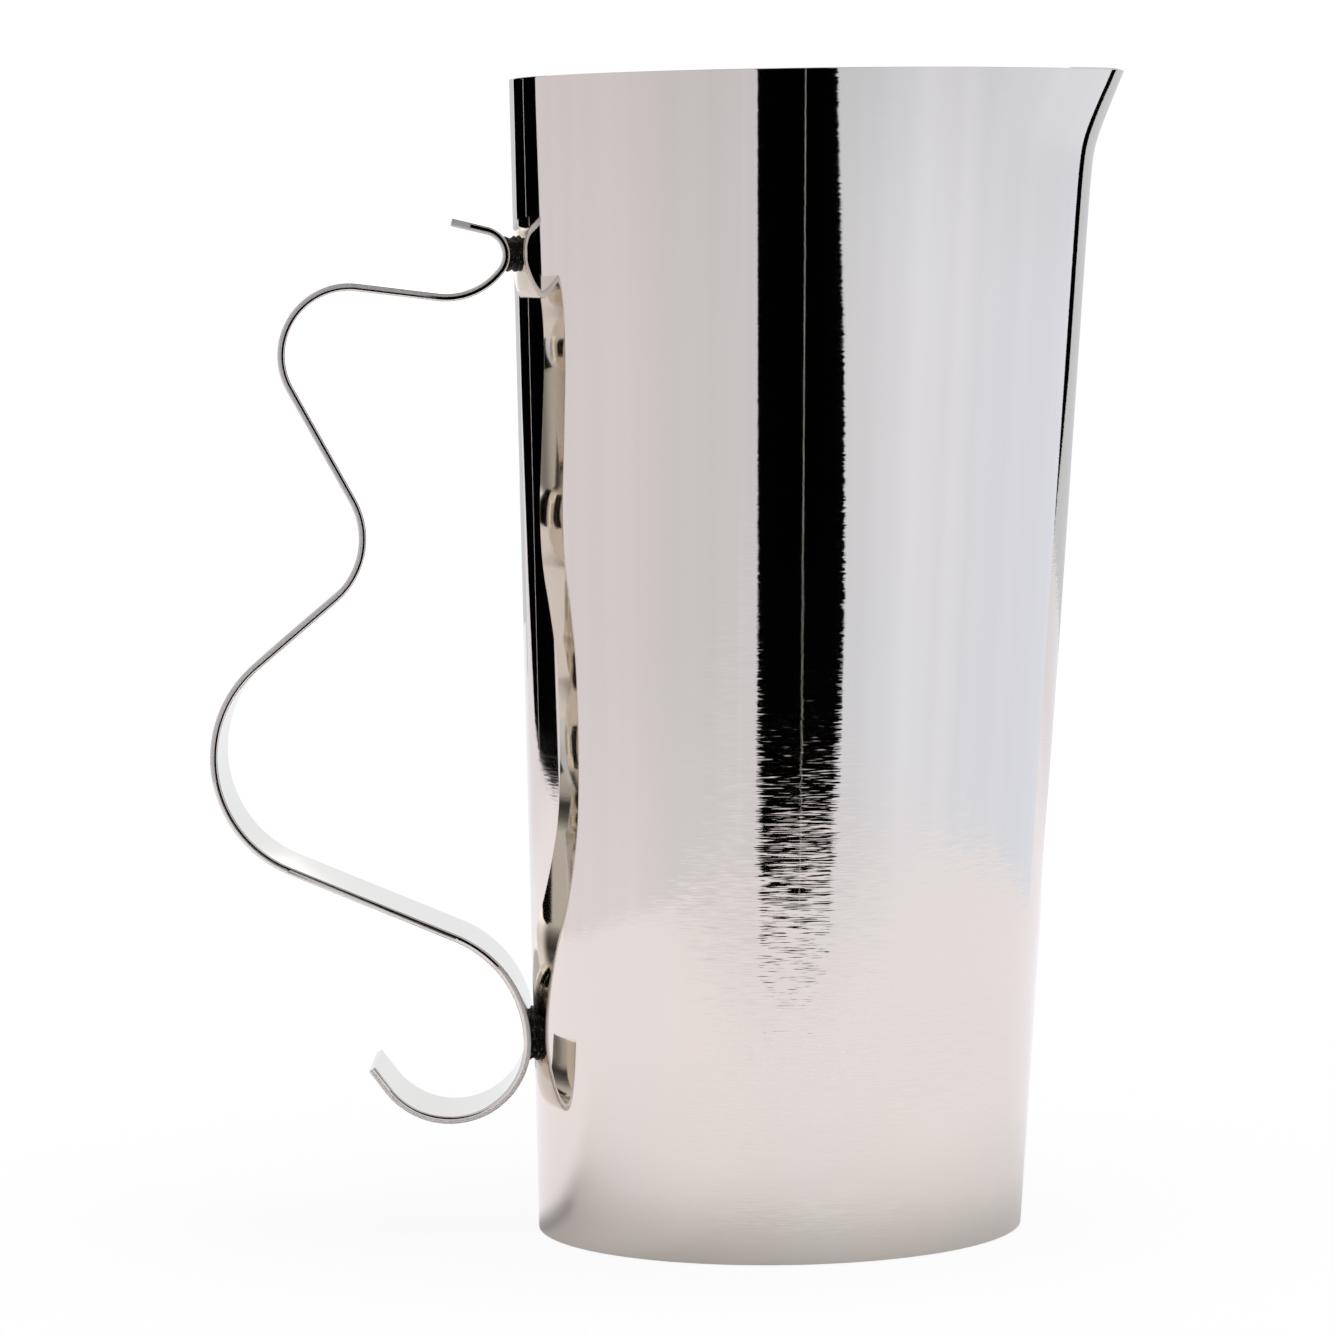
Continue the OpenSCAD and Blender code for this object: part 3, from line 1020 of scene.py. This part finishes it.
left_cloth = make_cloth("left_cloth", dim=0.07, bounce=0.07, stops=[
    (-130, (0.83, 0.807, 0.882)), (-70, (0.83, 0.807, 0.882)),
    (-48, (0.745, 0.755, 0.816)), (-13, (0.745, 0.757, 0.83))])
right_cloth = make_cloth("right_cloth", dim=0.16, bounce=0.0, stops=[
    (17, (0.786, 0.816, 0.911)), (45, (0.912, 0.949, 1.07)), (66, (0.912, 0.949, 1.07)),
    (72, (0.876, 0.928, 1.06)), (144, (0.876, 0.928, 1.06))])
print(left_cloth.name, "and", right_cloth.name, "change tone with the angle")

# %% [markdown]
# ## Hanging the cloth
# A cloth hangs on a curve round the pitcher, like a curtain on a bent rail. Flat cards would
# show their corners in the wall. The cloth's two upright edges become the sides of the dark
# band, so each edge has an angle at the table, a lean and a bow, found by following rays from
# the band's sides off the wall. The lower corners beside the opening are drawn in, so that the
# band ends above the foot.

# %% Hang the cloth
CLOTH_HEIGHT = 0.6
EDGE_TOP = 0.2
CORNER_TOP, CORNER_LOW = 0.042, -0.06


def hanging(name, material, start, end, out, lows, steps=40, rows=12):
    """Cloth hung round the pitcher from one angle to another.

    Angles are degrees from the camera's side, and each is (at the table, per metre, bow).
    The distance from the middle and the lower edge's height run evenly between their pairs.
    """
    def edge(values, z):
        tallest = min(z, EDGE_TOP)
        return values[0] + values[1] * tallest + values[2] * tallest ** 2

    verts = []
    for i in range(rows + 1):
        for j in range(steps + 1):
            share = j / steps
            low = lows[0] + (lows[1] - lows[0]) * share
            z = low + (CLOTH_HEIGHT - low) * i / rows
            turn = math.radians(edge(start, z) * (1 - share) + edge(end, z) * share)
            reach = out[0] + (out[1] - out[0]) * share
            verts.append((reach * math.sin(turn), -reach * math.cos(turn), z))
    wide = steps + 1
    faces = [(i * wide + j, i * wide + j + 1, (i + 1) * wide + j + 1, (i + 1) * wide + j)
             for i in range(rows) for j in range(steps)]
    return stage_piece(name, verts, faces, material)


def corner_cloth(name, material, y, outer, edge, inner):
    """The drawn-in lower corner of a cloth beside the opening."""
    return upright_board(name, y, [(outer, CORNER_TOP), (outer, CORNER_LOW),
                                   (inner, CORNER_LOW), (edge, CORNER_TOP)], material)


cloths = [
    hanging("left_front", left_cloth, start=(-14.3, -16.3, 0), end=(-27, 0, 0),
            out=(0.66, 0.66), lows=(-0.12, -0.12)),
    hanging("left_hanging", left_cloth, start=(-22, 0, 0), end=(-114.5, -44, 0),
            out=(0.40, 0.40), lows=(-0.05, 0)),
    hanging("right_hanging", right_cloth, start=(21.0, 0, -287), end=(134, 0, 0),
            out=(0.385, 0.37), lows=(-0.05, 0)),
    corner_cloth("left_corner", left_cloth, y=-0.42, outer=-0.116, edge=-0.114, inner=-0.049),
    corner_cloth("right_corner", right_cloth, y=-0.375, outer=0.165, edge=0.146, inner=0.071),
]
print("hung", ", ".join(cloth.name for cloth in cloths))

# %% [markdown]
# ## Dark gaps and backs
# Behind the cloth the room is dark. The gaps between the cloth and the backs show as the dark
# lines near the wall's two outlines, where a round mirror looks backwards. Black paint on the
# wall would stay put when the view turns, so the gaps stand in the room. Grey, pale and bright
# boards further back show in the last few millimetres of the wall and in the strip's faces.

# %% Close the gaps and set up the backs
def make_glow(name, colour, strength):
    material, exit_node, start = stage_material(name)
    glow_of(start, rgba(colour), strength).to(exit_node, "Surface")
    return material


def back_board(name, material, y, sides, heights):
    (left, right), (low, high) = sides, heights
    corners = [(left, low), (right, low), (right, high), (left, high)]
    return upright_board(name, y, corners, material)


dark = make_glow("dark_gap", (1, 1, 1), strength=0.0004)
pale = make_glow("pale_back", (0.906, 0.934, 0.969), strength=1.0)
grey = make_glow("grey_back", (0.98, 1.02, 1.08), strength=0.66)
bright = make_glow("bright_back", (1, 1, 1), strength=1.4)
backs = [
    hanging("left_gap_front", dark, start=(-112, -20, 0), end=(-139.1, 0, 0),
            out=(0.72, 0.72), lows=(-0.01, 0.012)),
    hanging("left_gap_back", dark, start=(-139.4, 0, 0), end=(-141, -170, 520),
            out=(0.72, 0.72), lows=(0.012, 0.023)),
    hanging("right_gap", dark, start=(128, 0, 0), end=(143.5, 0, 0),
            out=(0.60, 0.60), lows=(0, 0.112)),
    hanging("left_back", grey, start=(-157, 0, 0), end=(-172, 0, 0), out=(1.2, 1.2), lows=(0, 0)),
    hanging("right_back", grey, start=(128, 0, 0), end=(172, 0, 0), out=(1.2, 1.2), lows=(0, 0)),
    back_board("low_back", pale, y=0.20, sides=(-0.112, -0.01), heights=(0.004, 0.091)),
    back_board("far_back", bright, y=3.0, sides=(-0.6, 0.6), heights=(-0.5, 1.5)),
    back_board("room_back", dark, y=-0.85, sides=(-0.6, -0.05), heights=(-0.5, 0.9)),
]
print("set up", ", ".join(back.name for back in backs))

# %% [markdown]
# ## The slot in the opening
# A thin bright line runs down the dark band. Two dark boards close the opening, and the
# narrow slot between them lets the white of the world through. The slot leans, because the
# wall does. One board with a bright stripe would need a texture, and two boards need none.

# %% Leave a slot between two dark boards
ROOM_Y = -0.43
ROOM_LOW, ROOM_HIGH = -0.5, 0.6
ROOM_LEFT, ROOM_RIGHT = -0.09, 0.7
SLOT_X = 0.0347
SLOT_SLOPE = -0.156
SLOT_WIDTH = 0.0008


def slot_x(z, side):
    """Where the slot's left (-1) or right (1) side lies at that height."""
    return SLOT_X + SLOT_SLOPE * z + side * SLOT_WIDTH / 2


def room_board(name, outer, side):
    return upright_board(name, ROOM_Y, [
        (outer, ROOM_LOW), (slot_x(ROOM_LOW, side), ROOM_LOW),
        (slot_x(ROOM_HIGH, side), ROOM_HIGH), (outer, ROOM_HIGH)], dark)


room_board("room_left", ROOM_LEFT, -1)
room_board("room_right", ROOM_RIGHT, 1)
print("slot of", round(SLOT_WIDTH / MM, 1), "mm, leaning", SLOT_SLOPE, "m in a metre")

# %% [markdown]
# ## The ceiling
# The strip's faces show the ceiling twice over: once in the steel of the strip, and again in
# the strip's mirror image in the wall. Under an even ceiling that image would be flat and
# pale. So the ceiling is darkest over the pitcher and paler to the left, to the right and
# towards the back, as a ceiling with windows round it is.

# %% Put up the ceiling
CEILING_DARK = 0.05
CEILING_DARK_X = 0.05
CEILING_SLOPE = 0.3
CEILING_LEFT = (-0.2, -0.9)
CEILING_LEFT_RISE = 0.35
CEILING_RIGHT = (0.1, 0.45)
CEILING_NEAR = (1.18, 0.82)
CEILING_RIGHT_RISE = 0.34
CEILING_BACK = (1.28, 1.85)
CEILING_BACK_RISE = 0.9
CEILING_Z = 1.3
CEILING_SIDE = 1.5
CEILING_FRONT, CEILING_END = -0.6, 2.4


def level_corners(side, front, back, z):
    """The four corners of a level board that reaches as far left as right."""
    return [(-side, front, z), (side, front, z), (side, back, z), (-side, back, z)]


def make_ceiling():
    """A grey ceiling, darkest over the pitcher, which shades the handle's mirror image."""
    material, exit_node, start = stage_material("ceiling_grey")
    x = start.node("ShaderNodeSeparateXYZ", None, {"Vector": place_on(start)}, "X")
    y = x.output("Y")
    level = CEILING_DARK + CEILING_SLOPE * abs(x - CEILING_DARK_X)
    level = level + CEILING_LEFT_RISE * x.ease(*CEILING_LEFT)
    level = level + CEILING_RIGHT_RISE * x.ease(*CEILING_RIGHT) * y.ease(*CEILING_NEAR)
    level = level + CEILING_BACK_RISE * y.ease(*CEILING_BACK)
    glow_of(start, rgba((1, 1, 1)), level).to(exit_node, "Surface")
    return material


ceiling_grey = make_ceiling()
stage_piece("ceiling", level_corners(CEILING_SIDE, CEILING_FRONT, CEILING_END, CEILING_Z),
            [(0, 1, 2, 3)], ceiling_grey)
print("ceiling at", CEILING_Z, "m, with", len(ceiling_grey.node_tree.nodes), "nodes")

# %% [markdown]
# ## The table
# The pitcher stands on a white table, a hair below its base so that the two faces never
# flicker. Close to the foot the table keeps the pitcher's soft shadow from the lamp, and its
# colour is also painted darker round the foot as painted shadow. Further off it is plain
# white, so that it runs into the background. Light Path tells the camera's rays from the
# steel's: the steel sees a table that is darker under the handle, pale again past the
# handle's shadow, and dimmer at its front edge.

# %% Lay the table
TABLE_TOP = -0.0001
TABLE_FRONT = -0.362
TABLE_SIDE, TABLE_BACK = 1.5, 2.9
TABLE_SHADOW = (0.08, 0.26)
CAMERA_GLOW = 0.93
HANDLE_SIDE = (-0.02, -0.04)
HANDLE_GLOW = 0.15
PAST_HANDLE_GLOW = 0.87
PAST_HANDLE = (-0.004, 0.020)
TABLE_WHITE = (0.94, 0.925, 0.965)
# painted shadow: the table's own colour darkens round the foot, besides the lamp's real shadow
PAINTED_FOOT_SHADOW = (0.745, 0.738, 0.755)
FOOT_SHADE = (0.042, 0.092)
FOOT_SHADE_AT = (-0.012, -0.006, 0)
TABLE_IN_STEEL = (1.0, 0.978, 1.047)
TABLE_EDGE = (-0.36, -0.17)
TABLE_EDGE_DIM = 0.10
BEHIND = (0.35, 0.65)
BEHIND_ASIDE, BEHIND_MIDDLE = 0.87, 1.4
MIDDLE = (0.16, 0.22)


def table_level(x, y):
    """How bright the steel sees the table: dimmer in front, and changing behind the pitcher."""
    middle = 1 - abs(x).ease(*MIDDLE)
    back_level = BEHIND_ASIDE + (BEHIND_MIDDLE - BEHIND_ASIDE) * middle
    front = 1 - TABLE_EDGE_DIM + TABLE_EDGE_DIM * y.ease(*TABLE_EDGE)
    return front * (1 + (back_level - 1) * y.ease(*BEHIND))


def make_table():
    material, exit_node, start = stage_material("table_white")
    place = place_on(start)
    x = start.node("ShaderNodeSeparateXYZ", None, {"Vector": place}, "X")
    y = x.output("Y")
    to_camera = start.node("ShaderNodeLightPath", out="Is Camera Ray")
    white = glow_of(start, rgba((1, 1, 1)), 1.0)
    in_steel = glow_of(start, rgba(TABLE_IN_STEEL), table_level(x, y))
    plain = start.node("ShaderNodeMixShader", None, {0: to_camera, 1: in_steel, 2: white})
    from_shade = place.vector("LENGTH", place.vector("SUBTRACT", place, FOOT_SHADE_AT), out="Value")
    # the table's colour is painted darker round the foot: painted shadow
    tone = from_shade.ease(*FOOT_SHADE).blend(rgba(PAINTED_FOOT_SHADOW), rgba(TABLE_WHITE))
    matt = start.node("ShaderNodeBsdfDiffuse", None, {"Color": tone})
    past = HANDLE_GLOW + (PAST_HANDLE_GLOW - HANDLE_GLOW) * y.ease(*PAST_HANDLE)
    steel_glow = x.ease(*HANDLE_SIDE) * past
    glow = steel_glow + to_camera * (CAMERA_GLOW - steel_glow)
    shaded = start.node("ShaderNodeMixShader", None, {0: glow, 1: matt, 2: plain})
    far = place.vector("LENGTH", place, out="Value").ease(*TABLE_SHADOW)
    joined = start.node("ShaderNodeMixShader", None, {0: far, 1: shaded, 2: plain})
    joined.to(exit_node, "Surface")
    return material


table_white = make_table()
stage_piece("table", level_corners(TABLE_SIDE, TABLE_FRONT, TABLE_BACK, TABLE_TOP),
            [(0, 1, 2, 3)], table_white, seen=True)
print("table at", TABLE_TOP / MM, "mm, with", len(table_white.node_tree.nodes), "nodes")

# %% [markdown]
# ## The lamp and the world
# A soft lamp overhead lights the table and draws the shadow round the foot. It is a large
# area lamp, because a small one would give a hard shadow, and the steel does not see it. The
# world is plain white for the camera and for the steel, and gives little light to the rest,
# so that a colour renders about as it is written.

# %% Light the table
LAMP_AT = Vector((0.08, -0.04, 0.90))
LAMP_SIZE = 0.55
LAMP_WATTS = 6.6
WORLD_FILL = 0.3

lamp = bpy.data.objects.new("softbox", bpy.data.lights.new("softbox", "AREA"))
lamp.data.size = LAMP_SIZE
lamp.data.energy = LAMP_WATTS
lamp.location = LAMP_AT
lamp.rotation_euler = (-LAMP_AT).to_track_quat("-Z", "Y").to_euler()
lamp.visible_glossy = False
bpy.context.scene.collection.objects.link(lamp)

world = bpy.data.worlds.new("white_room")
bpy.context.scene.world = world
world.use_nodes = True
background = world.node_tree.nodes["Background"]
background.inputs["Color"].default_value = rgba((1, 1, 1))
path = Wire(world.node_tree).node("ShaderNodeLightPath", out="Is Camera Ray")
shown = path.math("MAXIMUM", path, path.output("Is Glossy Ray"))
shown = path.math("MAXIMUM", shown, path.output("Is Transmission Ray"))
(WORLD_FILL + (1 - WORLD_FILL) * shown).to(background, "Strength")
bpy.context.scene.view_settings.view_transform = "Standard"

# %% [markdown]
# ## Putting the pieces on the frame
# Each piece stands for one solid of the frame, hides that solid, and rides on the pitcher's
# one body. The base keeps its solid. Parenting by hand would move the pieces too, but would
# not hide the solids behind them.

# %% Tie each piece to its solid
for piece, node, slot in [
    (wall, "body_wall", "body_steel"),
    (strip, "handle_strip", "strip_steel"),
    (upper_pad, "upper_braze", "braze_silver"),
    (lower_pad, "lower_braze", "braze_silver"),
    (seam, "base_seam", "braze_silver"),
]:
    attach(piece, "root")
    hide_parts(node)
    print(piece.name, "stands for", node)

# %% [markdown]
